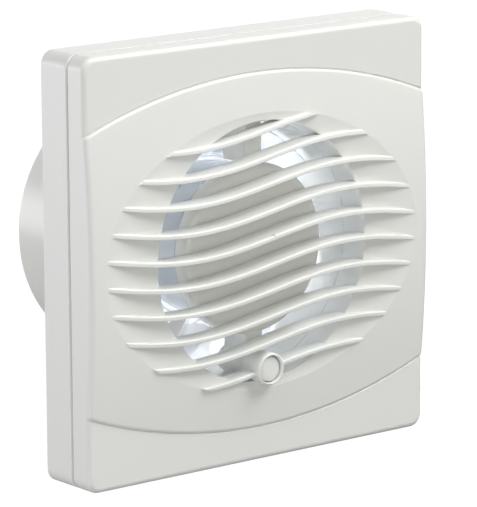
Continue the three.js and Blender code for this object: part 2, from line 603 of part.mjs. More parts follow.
addPiece('terminal_block', BLOCK_PLASTIC, terminalBlock());
for (const [i, x] of ways.entries()) {
  const terminalScrew = rod(2, BLOCK_FRONT + 0.6, BLOCK_FRONT + 2.7, BLOCK_X + x, BLOCK_Z);
  addPiece(`terminal_screw_${i + 1}`, BRASS, terminalScrew);
}

const clampX = [CLAMP_X - CLAMP_HALF_WIDTH, CLAMP_X + CLAMP_HALF_WIDTH];
const clampHoles = CLAMP_SCREW_Z.map((z) => rod(CLAMP_SCREW_R + 0.5, -FAR, 0, CLAMP_X, z));
const clampBar = block(clampX, [CLAMP_FRONT, CLAMP_REAR], [CLAMP_SCREW_Z[0] - 3, CLAMP_SCREW_Z[1] + 2.2]);
const clampArch = block(wider(clampX, 1), [CLAMP_REAR - 1.5, 0], wider(CLAMP_SCREW_Z, -2.8));
addPiece('cable_clamp', BLOCK_PLASTIC, cutBy(clampBar, [clampArch, ...clampHoles]));
for (const [i, z] of CLAMP_SCREW_Z.entries()) {
  const clampScrew = screw(CLAMP_SCREW_R, 2.2, 1.5, CLAMP_FRONT - SEAT_GAP, -2, CLAMP_X, z);
  addPiece(`clamp_screw_${i + 1}`, STEEL, clampScrew);
}

// A lead runs from its way in the terminal block, over the duct, down the strut and to the top coil.
function lead(wayX, side) {
  const x = -side * LEAD_SPACING;
  const overDuct = DUCT_R + 5.6 + side * 1.3;
  const route = [
    [wayX, LEAD_Y, BLOCK_Z - 3], [wayX, LEAD_Y, BLOCK_Z - 8], [wayX - 3, LEAD_Y - 1 - side, BLOCK_Z - 10],
    [44 + side * 1.4, LEAD_OVER_DUCT, 51.5 + side * 1.4], [24, LEAD_OVER_DUCT, overDuct],
    [8, LEAD_OVER_DUCT, overDuct], [x + 1.6, LEAD_OVER_DUCT, 53 + side * 0.8], [x, LEAD_OVER_DUCT, 50],
    [x, -13, 46], [x, -17, 36], [x, LEAD_IN_STRUT, 31], [x, LEAD_IN_STRUT, 26.5], [x, -16.9, 22],
  ].map((point) => new THREE.Vector3(...point));
  const circle = new THREE.Shape();
  circle.absarc(0, 0, LEAD_R, 0, 2 * Math.PI);
  const path = new THREE.CatmullRomCurve3(route, false, 'centripetal');
  const options = { steps: 26, bevelEnabled: false, extrudePath: path, curveSegments: 4 };
  return solid(new THREE.ExtrudeGeometry(circle, options));
}

addPiece('live_lead', BROWN_LEAD, lead(BLOCK_X + ways[1], 1));
addPiece('neutral_lead', BLUE_LEAD, lead(BLOCK_X + ways[0], -1));

export default fan;
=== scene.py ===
import math

import bmesh
import bpy
import numpy as np
from mathutils import Matrix, Vector


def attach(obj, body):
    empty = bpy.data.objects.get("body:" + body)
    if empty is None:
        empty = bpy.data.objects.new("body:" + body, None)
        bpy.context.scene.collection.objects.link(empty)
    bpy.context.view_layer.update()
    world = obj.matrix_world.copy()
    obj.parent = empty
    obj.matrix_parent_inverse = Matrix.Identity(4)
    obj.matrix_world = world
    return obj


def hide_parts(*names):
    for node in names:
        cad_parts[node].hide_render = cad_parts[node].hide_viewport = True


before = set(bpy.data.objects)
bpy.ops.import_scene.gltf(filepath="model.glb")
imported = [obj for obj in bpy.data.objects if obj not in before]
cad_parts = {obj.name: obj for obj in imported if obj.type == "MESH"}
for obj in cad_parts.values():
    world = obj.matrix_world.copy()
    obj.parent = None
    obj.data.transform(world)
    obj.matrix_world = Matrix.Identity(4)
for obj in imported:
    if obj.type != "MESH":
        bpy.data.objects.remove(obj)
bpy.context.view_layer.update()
scene = bpy.context.scene
MM = 0.001

# ---------- cover and casing, as in the CAD ----------
HALF = 77.5  # half the width and height of cover and casing
CORNER_R = 5.0
FACE = 25.0  # the cover's flat corners in front of the wall plane
EDGE_ROUND = 2.0
EDGE_BREAK = 0.25
COVER_WALL = 2.2
SKIRT_WALL = 2.0
SKIRT_END = 15.9
ARC_R = 208.0  # the two arcs that bound the crowned band
ARC_APEX = 64.8
CROWN_STEP = 0.6
CROWN_R = 496.0
STEP_ROUND = 1.1
GROOVE_WIDTH = 0.6
GROOVE_DEPTH = 0.4
DISH_A = 71.5  # half axes of the dish's ellipse
DISH_B = 50.2
OPENING_R = 47.4
RIM = 27.0  # the opening's rim in front of the wall plane
COLLAR_WALL = 1.8
COLLAR_LIFT = 0.4
CASING_FRONT = 14.6
CASING_FLOOR = 2.5
TONGUE_X = 61.0
WALL_SLOT_X, WALL_SLOT_Z = 64.0, 26.0
ENTRY_X, ENTRY_Z = 32.0, 66.0

# ---------- louvres, boss and screw cap ----------
LOUVRE_COUNT = 10
LOUVRE_PITCH = 9.7
LOUVRE_RISE = 0.7
LOUVRE_HALF = 0.9
LOUVRE_TOP_ROUND = 0.7
LOUVRE_LOW_ROUND = 0.3
LOUVRE_DOME = 2.88  # the middle louvres swell this far in front of the crown
DOME_R = 70.0
LOUVRE_REAR = 22.8
WAVE = 4.05
WAVE_HALF = 70.0
GATE_X, GATE_Z = 0.9, 6.25  # mark of the moulding gate on the fifth louvre
BOSS_Z = -42.7
BOSS_R = 6.0
BOSS_FRONT = 31.5
RECESS_R = 4.95
RECESS_FLOOR = 25.5
CAP_R = 4.6
CAP_INNER_R = 4.1

# ---------- duct housing, impeller and motor ----------
DUCT_R = 49.4
DUCT_INNER = 47.6
DUCT_FRONT = 15.1
SPIGOT = 55.0
CUP_R = 31.3
CUP_FRONT = 22.0
CUP_END = 15.5
SLEEVE_R = 28.0  # the sleeve that holds the stator
EAR_RADIUS = 54.0
EAR_R = 4.5
HUB_R = 31.0
HUB_INNER_R = 29.2
HUB_FRONT = 14.8
HUB_REAR = 14.5
BLADES = 7
BLADE_ROOT_R = 30.2
BLADE_TIP_R = 46.2
SHAFT_R = 2.0
PRESSED_BORE = 2.1
BEARING_BORE = 2.06
STACK_LENGTH = 12.0
STATOR_R = 25.8
YOKE_R = 21.0
STATOR_BORE = 11.0
ROTOR_R = 10.4
MOTOR_SCREW_RADIUS = 23.4
MOTOR_SCREW_TURNS = (45, 225)

# ---------- terminal block, clamp and leads ----------
BLOCK_X, BLOCK_Z = 58.0, 62.0
WAY_OFFSETS = (-4, 4)
CLAMP_X = 46.0
CLAMP_SCREW_Z = (59.0, 71.2)
LEAD_R = 0.9
LEAD_SPACING = 1.06
LEAD_HEIGHT = -12.4


# ---------- mesh tools ----------
def mesh_from(name, points, faces):
    """A clean mesh from points and faces."""
    mesh = bpy.data.meshes.new(name)
    mesh.from_pydata([tuple(p) for p in points], [], [tuple(f) for f in faces])
    tidy(mesh)
    return mesh


def tidy(mesh):
    """Merges doubled points, drops empty faces and turns every face outwards."""
    work = bmesh.new()
    work.from_mesh(mesh)
    bmesh.ops.remove_doubles(work, verts=work.verts, dist=1e-4)
    bmesh.ops.dissolve_degenerate(work, dist=1e-5, edges=work.edges)
    bmesh.ops.recalc_face_normals(work, faces=work.faces)
    work.to_mesh(mesh)
    work.free()


def combine(first, others, operation):
    """first joined with, or cut by, each of the other meshes."""
    base = bpy.data.objects.new("base", first)
    scene.collection.objects.link(base)
    helpers = []
    for other in others:
        helper = bpy.data.objects.new("helper", other)
        scene.collection.objects.link(helper)
        helpers.append(helper)
        step = base.modifiers.new("boolean", "BOOLEAN")
        step.operation = operation
        step.solver = "MANIFOLD"
        step.object = helper
    shape = bpy.context.evaluated_depsgraph_get()
    shape.update()
    result = bpy.data.meshes.new_from_object(base.evaluated_get(shape))
    for thing in [base, *helpers]:
        bpy.data.objects.remove(thing)
    return result


def joined(first, *others):
    """The meshes as one."""
    return combine(first, others, "UNION")


def cut(first, *others):
    """first with the others taken out of it."""
    return combine(first, others, "DIFFERENCE")


def moved(mesh, matrix):
    mesh.transform(matrix)
    return mesh


def shift(x, y, z):
    return Matrix.Translation((x, y, z))


def about_y(degrees):
    """A turn about the duct axis that carries +X towards +Z."""
    return Matrix.Rotation(-math.radians(degrees), 4, "Y")


def loft(name, loops, closed=True):
    """Quads between loops of equal length.

    closed joins the last loop to the first; otherwise both ends are filled.
    """
    count, size = len(loops), len(loops[0])
    points = np.concatenate([np.asarray(loop, float) for loop in loops])
    faces = []
    for i in range(count if closed else count - 1):
        j = (i + 1) % count
        for k in range(size):
            n = (k + 1) % size
            faces.append((i * size + k, i * size + n, j * size + n, j * size + k))
    if not closed:
        faces.append(tuple(range(size)))
        faces.append(tuple(range((count - 1) * size, count * size)))
    return mesh_from(name, points, faces)


def rounded(path, segments=4):
    """A closed path of (a, b, radius) corners, with each corner rounded by its radius."""
    result = []
    count = len(path)
    for i in range(count):
        a, b, radius = path[i]
        if radius <= 0:
            result.append((a, b))
            continue
        here = Vector((a, b))
        back = Vector(path[i - 1][:2]) - here
        ahead = Vector(path[(i + 1) % count][:2]) - here
        half = back.angle(ahead) / 2
        reach = min(radius / math.tan(half), 0.49 * back.length, 0.49 * ahead.length)
        radius = reach * math.tan(half)
        centre = here + (back.normalized() + ahead.normalized()).normalized() * (radius / math.sin(half))
        start = here + back.normalized() * reach - centre
        turn = start.angle_signed(here + ahead.normalized() * reach - centre)
        for k in range(segments + 1):
            spoke = start.copy()
            spoke.rotate(Matrix.Rotation(-turn * k / segments, 2))
            result.append(tuple(centre + spoke))
    return result


def lathe(name, path, segments=128, corner=4):
    """A closed profile of (radius, y, corner radius) turned about the Y axis."""
    profile = rounded(path, corner)
    loops = []
    for i in range(segments):
        angle = 2 * math.pi * i / segments
        loops.append([(r * math.cos(angle), y, r * math.sin(angle)) for r, y in profile])
    return loft(name, loops)


def outline_square(half, radius, segments=10):
    """A square with round corners, centred on the duct axis."""
    points = []
    for quarter in range(4):
        cx = (half - radius) * (1 if quarter in (0, 3) else -1)
        cz = (half - radius) * (1 if quarter in (0, 1) else -1)
        for k in range(segments + 1):
            angle = math.pi / 2 * (quarter + k / segments)
            points.append((cx + radius * math.cos(angle), cz + radius * math.sin(angle)))
    return points


def outline_slot(x, z, half_length, radius, segments=12):
    """A slot along X with round ends."""
    points = []
    for side in (1, -1):
        for k in range(segments + 1):
            angle = math.pi * (k / segments - side / 2)
            middle = x + side * (half_length - radius)
            points.append((middle + radius * math.cos(angle), z + radius * math.sin(angle)))
    return points


def outline_box(x0, x1, z0, z1, radius):
    """A rectangle with round corners."""
    return rounded([(x1, z0, radius), (x1, z1, radius), (x0, z1, radius), (x0, z0, radius)], 4)


def signed_area(points):
    """Twice the area inside an outline, positive when it runs anticlockwise."""
    a, b = points[:, 0], points[:, 1]
    return np.sum(a * np.roll(b, -1) - b * np.roll(a, -1))


def prism(name, outline, front, rear, round_front=0.0, round_rear=0.0, steps=4):
    """An (x, z) outline carried along Y from front to rear, with rounded end edges."""
    points = np.array(outline)
    ahead = np.roll(points, -1, 0) - points
    back = points - np.roll(points, 1, 0)
    along = ahead / np.linalg.norm(ahead, axis=1)[:, None]
    along = along + back / np.linalg.norm(back, axis=1)[:, None]
    along /= np.linalg.norm(along, axis=1)[:, None]
    inward = np.stack([-along[:, 1], along[:, 0]], 1)
    inward *= 1 if signed_area(points) > 0 else -1
    rows = []
    for k in range(steps + 1 if round_front else 1):
        angle = math.pi / 2 * k / steps
        rows.append((round_front * (1 - math.sin(angle)), front + round_front * (1 - math.cos(angle))))
    for k in range(steps + 1 if round_rear else 1):
        angle = math.pi / 2 * (1 - k / steps)
        rows.append((round_rear * (1 - math.sin(angle)), rear - round_rear * (1 - math.cos(angle))))
    loops = []
    for inset, y in rows:
        ring = points + inward * inset
        loops.append([(x, y, z) for x, z in ring])
    return loft(name, loops, closed=False)


def rod(name, radius, front, rear, x=0.0, z=0.0, edge=0.0, segments=48):
    """A round bar along Y."""
    angles = [2 * math.pi * k / segments for k in range(segments)]
    outline = [(x + radius * math.cos(a), z + radius * math.sin(a)) for a in angles]
    return prism(name, outline, front, rear, edge, edge)


def box(name, x, y, z, edge=0.0):
    """A block between two limits on each axis; its long edges always keep a slight rounding."""
    return prism(name, outline_box(*x, *z, max(edge, 0.05)), *y, edge, edge)


def place(name, mesh, body, material, replaces=(), sharp=32.0):
    """Puts a mesh made in millimetres into the scene as one piece of the fan."""
    mesh.transform(Matrix.Scale(MM, 4))
    for polygon in mesh.polygons:
        polygon.use_smooth = True
    mesh.set_sharp_from_angle(angle=math.radians(sharp))
    mesh.name = name
    mesh.materials.clear()
    mesh.materials.append(material)
    piece = bpy.data.objects.new(name, mesh)
    scene.collection.objects.link(piece)
    shading = piece.modifiers.new("shading", "WEIGHTED_NORMAL")
    shading.keep_sharp = True
    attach(piece, body)
    if replaces:
        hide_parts(*replaces)
    return piece


# ---------- materials ----------
PLASTIC_IOR = 1.5


def new_material(name):
    """A material with its node tree and its shader."""
    material = bpy.data.materials.new(name)
    material.use_nodes = True
    nodes = material.node_tree.nodes
    return material, nodes, material.node_tree.links, nodes["Principled BSDF"]


def noise(nodes, links, scale, detail=3.0, stretch=(1, 1, 1)):
    """Noise in the piece's own coordinates; scale counts its features per metre."""
    where = nodes.new("ShaderNodeTexCoord")
    size = nodes.new("ShaderNodeMapping")
    size.inputs["Scale"].default_value = stretch
    texture = nodes.new("ShaderNodeTexNoise")
    texture.inputs["Scale"].default_value = scale
    texture.inputs["Detail"].default_value = detail
    links.new(where.outputs["Object"], size.inputs["Vector"])
    links.new(size.outputs["Vector"], texture.inputs["Vector"])
    return texture.outputs["Fac"]


def ramp(nodes, links, source, low, high, start=0.3, end=0.7):
    """Carries the part of source between start and end over to low and high."""
    spread = nodes.new("ShaderNodeMapRange")
    spread.inputs["From Min"].default_value = start
    spread.inputs["From Max"].default_value = end
    spread.inputs["To Min"].default_value = low
    spread.inputs["To Max"].default_value = high
    links.new(source, spread.inputs["Value"])
    return spread.outputs["Result"]


def blend_colours(nodes, links, factor, first, second):
    """A colour that runs from first to second as factor runs from 0 to 1."""
    mix = nodes.new("ShaderNodeMix")
    mix.data_type = "RGBA"
    mix.inputs["A"].default_value = (*first, 1)
    mix.inputs["B"].default_value = (*second, 1)
    links.new(factor, mix.inputs["Factor"])
    return mix.outputs["Result"]


def add_bump(nodes, links, shader, source, height):
    """Relief of this height in metres."""
    bump = nodes.new("ShaderNodeBump")
    bump.inputs["Strength"].default_value = 1.0
    bump.inputs["Distance"].default_value = height
    links.new(source, bump.inputs["Height"])
    links.new(bump.outputs["Normal"], shader.inputs["Normal"])


def moulded(name, colour, shade, roughness):
    """Injection-moulded plastic: faint flow marks in the colour, fine grain, uneven gloss."""
    material, nodes, links, shader = new_material(name)
    flow = ramp(nodes, links, noise(nodes, links, 22.0, 2.0, (1, 1, 0.45)), 0, 1)
    links.new(blend_colours(nodes, links, flow, colour, shade), shader.inputs["Base Color"])
    patches = noise(nodes, links, 60.0)
    gloss = ramp(nodes, links, patches, roughness * 0.9, roughness * 1.1, 0, 1)
    links.new(gloss, shader.inputs["Roughness"])
    grain = noise(nodes, links, 900.0, 2.0)
    add_bump(nodes, links, shader, grain, 4e-6)
    shader.inputs["IOR"].default_value = PLASTIC_IOR
    return material


def clear(name, colour, roughness):
    """Transparent moulded styrene with a cool tint and slight flow lines."""
    material, nodes, links, shader = new_material(name)
    tint = ramp(nodes, links, noise(nodes, links, 40.0), 0, 1)
    deeper = tuple(0.96 * c for c in colour)
    links.new(blend_colours(nodes, links, tint, colour, deeper), shader.inputs["Base Color"])
    patches = noise(nodes, links, 90.0)
    gloss = ramp(nodes, links, patches, roughness * 0.5, roughness * 1.5, 0, 1)
    links.new(gloss, shader.inputs["Roughness"])
    ripples = noise(nodes, links, 150.0, 2.0)
    add_bump(nodes, links, shader, ripples, 1.2e-5)
    shader.inputs["Transmission Weight"].default_value = 0.9
    shader.inputs["Alpha"].default_value = 0.45
    shader.inputs["IOR"].default_value = PLASTIC_IOR
    return material


def metal(name, colour, shade, roughness, stretch=(1, 1, 1), scale=300.0, height=3e-6):
    """Metal with fine drawn or turned marks and slightly uneven tone."""
    material, nodes, links, shader = new_material(name)
    tone = ramp(nodes, links, noise(nodes, links, 45.0), 0, 1)
    links.new(blend_colours(nodes, links, tone, colour, shade), shader.inputs["Base Color"])
    marks = noise(nodes, links, scale, 3.0, stretch)
    gloss = ramp(nodes, links, marks, roughness * 0.7, roughness * 1.3, 0, 1)
    links.new(gloss, shader.inputs["Roughness"])
    add_bump(nodes, links, shader, marks, height)
    shader.inputs["Metallic"].default_value = 1.0
    return material


WHITE = moulded("white_plastic", (0.795, 0.803, 0.785), (0.785, 0.793, 0.775), 0.32)
CREAM = moulded("cream_plastic", (0.8, 0.798, 0.768), (0.785, 0.783, 0.753), 0.22)
CLEAR = clear("clear_plastic", (0.78, 0.86, 1.0), 0.05)
BLOCK = moulded("block_plastic", (0.68, 0.66, 0.58), (0.64, 0.62, 0.54), 0.42)
STEEL = metal("steel", (0.62, 0.62, 0.63), (0.54, 0.54, 0.56), 0.28, (1, 1, 6))
LAMINATION = metal("lamination", (0.2, 0.21, 0.23), (0.13, 0.14, 0.16), 0.48, (1, 8, 1))
COPPER = metal("copper", (0.6, 0.24, 0.1), (0.5, 0.18, 0.07), 0.3)
ALUMINIUM = metal("aluminium", (0.6, 0.61, 0.62), (0.5, 0.51, 0.53), 0.45)
BRONZE = metal("bronze", (0.42, 0.27, 0.12), (0.34, 0.2, 0.09), 0.5, scale=900.0, height=1e-5)
BRASS = metal("brass", (0.7, 0.5, 0.2), (0.6, 0.41, 0.15), 0.32)
BROWN = moulded("brown_sleeve", (0.1, 0.035, 0.015), (0.08, 0.03, 0.012), 0.45)
BLUE = moulded("blue_sleeve", (0.03, 0.11, 0.3), (0.025, 0.09, 0.26), 0.45)


# ---------- front cover ----------
# Where the cover's section has its points: shares of the way over the dish and over the band,
# distances inside the arc across step and groove, and shares of the flat corner beyond it.
DISH_SHARES = (0.0, 0.12, 0.25, 0.4, 0.55, 0.7, 0.82, 0.92, 0.98)
BAND_SHARES = (0, 0.03, 0.12, 0.25, 0.4, 0.55, 0.7, 0.85, 0.97)
STEP_INSIDES = (1.1, 0.8, 0.5, 0.3, 0.15, 0.05, 0.0, -0.3, -0.6, -0.68)
FLAT_INSIDE = -0.7
FLAT_SHARES = (0.02, 0.3, 0.65, 0.98)


def arc_height(x):
    """Height above the axis of the arc that bounds the band."""
    return math.sqrt(ARC_R ** 2 - min(abs(x), HALF) ** 2) - (ARC_R - ARC_APEX)


def crown(x, z):
    """Distance of the crowned band in front of the wall plane."""
    return FACE + CROWN_STEP + (arc_height(x) ** 2 - z * z) / (2 * CROWN_R)


def band_front(x, z):
    """Distance in front of the wall plane of flat corners, grooves and crowned band."""
    inside = ARC_R - math.hypot(x, abs(z) + ARC_R - ARC_APEX)
    if inside <= 0:
        return FACE - GROOVE_DEPTH * max(0.0, 1 + inside / GROOVE_WIDTH)
    rise = math.sqrt(1 - max(0.0, 1 - inside / STEP_ROUND) ** 2)
    foot = FACE - GROOVE_DEPTH
    return foot + (crown(x, z) - foot) * rise


def edge_drop(x, z):
    """How far the rounded outer edge falls back from the front."""
    qx, qz = abs(x) - (HALF - CORNER_R), abs(z) - (HALF - CORNER_R)
    inset = CORNER_R - math.hypot(qx, qz) if qx > 0 and qz > 0 else HALF - max(abs(x), abs(z))
    inset = min(max(inset, 0.0), EDGE_ROUND)
    return EDGE_ROUND - math.sqrt(max(0.0, EDGE_ROUND ** 2 - (EDGE_ROUND - inset) ** 2))


def to_square(c, s, inset):
    """Distance along the ray (c, s) to the cover's outline moved inwards."""
    half, radius = HALF - inset, CORNER_R - inset
    c, s = abs(c), abs(s)
    reach = half / max(c, s)
    core = half - radius
    if min(c, s) * reach > core:
        b = core * (c + s)
        reach = b + math.sqrt(b * b - 2 * core * core + radius * radius)
    return reach


def to_arc(s, inside):
    """Distance along a ray of slope sine s to the arc moved inwards."""
    b = (ARC_R - ARC_APEX) * abs(s)
    return -b + math.sqrt(b * b + (ARC_R - inside) ** 2 - (ARC_R - ARC_APEX) ** 2)


def to_ellipse(c, s):
    """Distance along the ray (c, s) to the dish's ellipse."""
    return 1 / math.hypot(c / DISH_A, s / DISH_B)


def dish_front(c, s, t):
    """Distance of the dish in front of the wall plane, t from 0 at the ellipse to 1 at the rim."""
    r = to_ellipse(c, s)
    fall = 1 - (1 - t) ** 1.5
    return crown(r * c, r * s) * (1 - fall) + RIM * fall


def cover_section(angle):
    """The shell's section at this angle about the duct axis, as (radius, front) points."""
    c, s = math.cos(angle), math.sin(angle)
    ellipse, outer = to_ellipse(c, s), to_square(c, s, 0)
    inner_edge = to_square(c, s, EDGE_ROUND)
    collar_end = SKIRT_END - COLLAR_LIFT
    points = [(OPENING_R, collar_end), (OPENING_R, 20.0), (OPENING_R, RIM - 0.6),
              (OPENING_R + 0.08, RIM - 0.3), (OPENING_R + 0.25, RIM - 0.1)]
    start = OPENING_R + 0.6
    for t in DISH_SHARES:
        r = start + (ellipse - start) * t
        points.append((r, dish_front(c, s, 1 - t)))
    limit = min(to_arc(s, STEP_ROUND), inner_edge)
    radii = [ellipse + (limit - ellipse) * t for t in BAND_SHARES]
    radii += [min(to_arc(s, d), outer) for d in STEP_INSIDES]
    foot = min(to_arc(s, FLAT_INSIDE), inner_edge)
    radii += [foot + (inner_edge - foot) * t for t in FLAT_SHARES]
    insets = [EDGE_ROUND * (1 - math.sin(math.pi / 2 * k / 8)) for k in range(9)]
    radii += [to_square(c, s, inset) for inset in insets]
    for r in sorted(radii):
        x, z = r * c, r * s
        points.append((r, band_front(x, z) - edge_drop(x, z)))
    edge = points[-1][1]
    points += [(outer, edge - (edge - SKIRT_END) * t) for t in (0.35, 0.7)]
    points += [(outer, SKIRT_END + EDGE_BREAK), (to_square(c, s, EDGE_BREAK), SKIRT_END)]
    lining = to_square(c, s, SKIRT_WALL)
    points += [(lining, SKIRT_END), (lining, FACE - COVER_WALL)]
    limit = min(to_arc(s, 1.5), lining - 0.5)
    points += [(limit, FACE - COVER_WALL), (limit - 0.5, FACE - 1.9)]
    points += [(min(ellipse, limit - 1), FACE - 0.8)]
    points += [(OPENING_R + COLLAR_WALL, RIM - 2.6), (OPENING_R + COLLAR_WALL, collar_end)]
    return points


def cover_angles():
    """Even angles, with more of them at the band's ends and at the square's corners."""
    angles = [2 * math.pi * i / 480 for i in range(480)]
    band_corner = math.atan2(arc_height(HALF), HALF)
    square_corner = math.pi / 4
    for base, spread, count in ((band_corner, 0.022, 26), (square_corner, 0.042, 20)):
        for k in range(count + 1):
            near = base + spread * (2 * k / count - 1)
            angles += [near, math.pi - near, math.pi + near, 2 * math.pi - near]
    angles = sorted(angles)
    return [a for i, a in enumerate(angles) if i == 0 or a - angles[i - 1] > 2e-4]


def cover_shell():
    """The cover's shell, from the opening's collar over the front to the skirt and back inside."""
    loops = []
    for angle in cover_angles():
        c, s = math.cos(angle), math.sin(angle)
        loops.append([(r * c, -front, r * s) for r, front in cover_section(angle)])
    return loft("cover_shell", loops)


def wave(x):
    """Rise of a louvre's wave."""
    return WAVE * math.sin(math.pi * x / WAVE_HALF)


def louvre_tip(middle, offset, side):
    """Where the louvre line at this offset leaves the dish's ellipse."""
    low, high = 0.0, DISH_A
    for _ in range(40):
        x = side * (low + high) / 2
        z = middle + wave(x) + offset
        if (x / DISH_A) ** 2 + (z / DISH_B) ** 2 < 1:
            low = abs(x)
        else:
            high = abs(x)
    return side * low


def louvre_front(x, z):
    """Distance of the louvres' fronts in front of the wall plane."""
    return crown(x, z) + LOUVRE_DOME * (1 - (x * x + z * z) / DOME_R ** 2)


def louvre_section():
    """A louvre's section: (height in half thicknesses, distance behind its front, at the rear)."""
    low, top = LOUVRE_LOW_ROUND, LOUVRE_TOP_ROUND
    section = [(-1.0, 0.0, 1)]
    for a in np.linspace(0.0, math.pi / 2, 7):
        section.append((-1 + low / LOUVRE_HALF * (1 - math.cos(a)), low * (1 - math.sin(a)), 0))
    for a in np.linspace(0.0, math.pi / 2, 7):
        section.append((1 - top / LOUVRE_HALF * (1 - math.sin(a)), top * (1 - math.cos(a)), 0))
    return [*section, (1.0, 0.0, 1)]


LOUVRE_SECTION = louvre_section()


def louvre(index):
    """One louvre from tip to tip; index 0 is the top one."""
    middle = LOUVRE_RISE + LOUVRE_PITCH * ((LOUVRE_COUNT - 1) / 2 - index)
    loops = []
    steps = 96
    tips = {}
    for k, _, _ in LOUVRE_SECTION:
        tips[k] = [louvre_tip(middle, k * LOUVRE_HALF, side) for side in (-1, 1)]
    for i in range(steps + 1):
        share = 0.5 - 0.5 * math.cos(math.pi * i / steps)
        loop = []
        for k, back, rear in LOUVRE_SECTION:
            left, right = tips[k]
            x = left + (right - left) * share
            z = middle + wave(x) + k * LOUVRE_HALF
            front = LOUVRE_REAR if rear else louvre_front(x, z) - back
            loop.append((x, -front, z))
        loops.append(loop)
    return loft(f"louvre_{index + 1}", loops, closed=False)


def front_cover():
    """Shell, louvres, screw boss and the two tongues that hook into the casing."""
    boss = lathe("boss", [
        (0, -CUP_FRONT, 0), (0, -BOSS_FRONT, 0), (BOSS_R, -BOSS_FRONT, 0.9), (BOSS_R, -CUP_FRONT, 0)], 72, 6)
    recess = lathe("recess", [
        (0, -40, 0), (RECESS_R + 0.55, -40, 0), (RECESS_R + 0.55, -BOSS_FRONT - 0.5, 0),
        (RECESS_R, 0.7 - BOSS_FRONT, 0.5), (RECESS_R, -RECESS_FLOOR, 0.2), (0, -RECESS_FLOOR, 0)], 72)
    hole = rod("hole", 2.3, -26, -15)
    for part in (boss, recess, hole):
        moved(part, shift(0, 0, BOSS_Z))
    gate = box("gate", (GATE_X - 0.25, GATE_X + 0.25), (0.02 - louvre_front(0, 0), -31),
               (GATE_Z - 0.65, GATE_Z + 0.65), 0.1)
    shell = joined(cover_shell(), *[louvre(i) for i in range(LOUVRE_COUNT)], boss, gate)
    tongues = [box("tongue", (x - 6, x + 6), (-24, -10.6), (70.7, 72.2), 0.3)
               for x in (-TONGUE_X, TONGUE_X)]
    return cut(joined(shell, *tongues), recess, hole)


place("front_cover_moulding", front_cover(), "cover", WHITE, ["front_cover"])
cap = moved(lathe("cap", [
    (0, -30.7, 0), (3.0, -30.62, 2), (CAP_R, -30.3, 0.5), (CAP_R, -28.1, 0.1), (CAP_INNER_R, -28.1, 0.1),
    (CAP_INNER_R, -29.5, 0.2), (0, -29.8, 0)], 96, 6), shift(0, 0, BOSS_Z))
place("screw_cap_moulding", cap, "cap", WHITE, ["screw_cap"])


# ---------- screws ----------
def screw(radius, head_r, head_height, seat, end, pitch=0.8):
    """A pan-head screw along Y with a cross recess and a rolled thread."""
    side = 1 if end > seat else -1
    top = seat - side * head_height
    root = radius * 0.8
    path = [(0, top, 0), (head_r * 0.82, top, 0.5 * head_height), (head_r, seat, 0.15),
            (radius * 0.82, seat, 0)]
    y = seat + side * 0.6
    while abs(end - y) > 1.6 * radius + pitch:
        path += [(root, y, 0), (radius, y + side * pitch * 0.4, 0.04), (root, y + side * pitch * 0.8, 0)]
        y += side * pitch
    path += [(root, y, 0), (0.12, end, 0), (0, end, 0)]
    body = lathe("screw", path, 40, 4)
    arm = head_r * 0.55
    ends = sorted((top - side * 0.5, top + side * head_height * 0.6))
    cross = [box("arm", (-arm, arm), ends, (-0.32, 0.32)), box("arm", (-0.32, 0.32), ends, (-arm, arm))]
    return cut(body, *cross)


DIAGONAL_TURNS = [math.radians(45 + 90 * i) for i in range(4)]
DIAGONALS = [(math.cos(a), math.sin(a)) for a in DIAGONAL_TURNS]

fine = moved(screw(1.6, 3.7, 2.2, -RECESS_FLOOR - 0.05, -8), shift(0, 0, BOSS_Z))
place("cover_screw_fine", fine, "fastener", STEEL, ["cover_screw"])
for i, (c, s) in enumerate(DIAGONALS):
    fine = moved(screw(1.5, 3.2, 2.2, -9.05, -2), shift(c * EAR_RADIUS, 0, s * EAR_RADIUS))
    place(f"housing_screw_fine_{i + 1}", fine, "housing", STEEL, [f"housing_screw_{i + 1}"])
for i, degrees in enumerate(MOTOR_SCREW_TURNS):
    fine = moved(screw(1.2, 2.4, 1.6, 6.35, -18), about_y(degrees) @ shift(MOTOR_SCREW_RADIUS, 0, 0))
    place(f"motor_screw_fine_{i + 1}", fine, "housing", STEEL, [f"motor_screw_{i + 1}"])
for i, z in enumerate(CLAMP_SCREW_Z):
    fine = moved(screw(1.0, 2.2, 1.5, -11.35, -2, 0.6), shift(CLAMP_X, 0, z))
    place(f"clamp_screw_fine_{i + 1}", fine, "housing", STEEL, [f"clamp_screw_{i + 1}"])


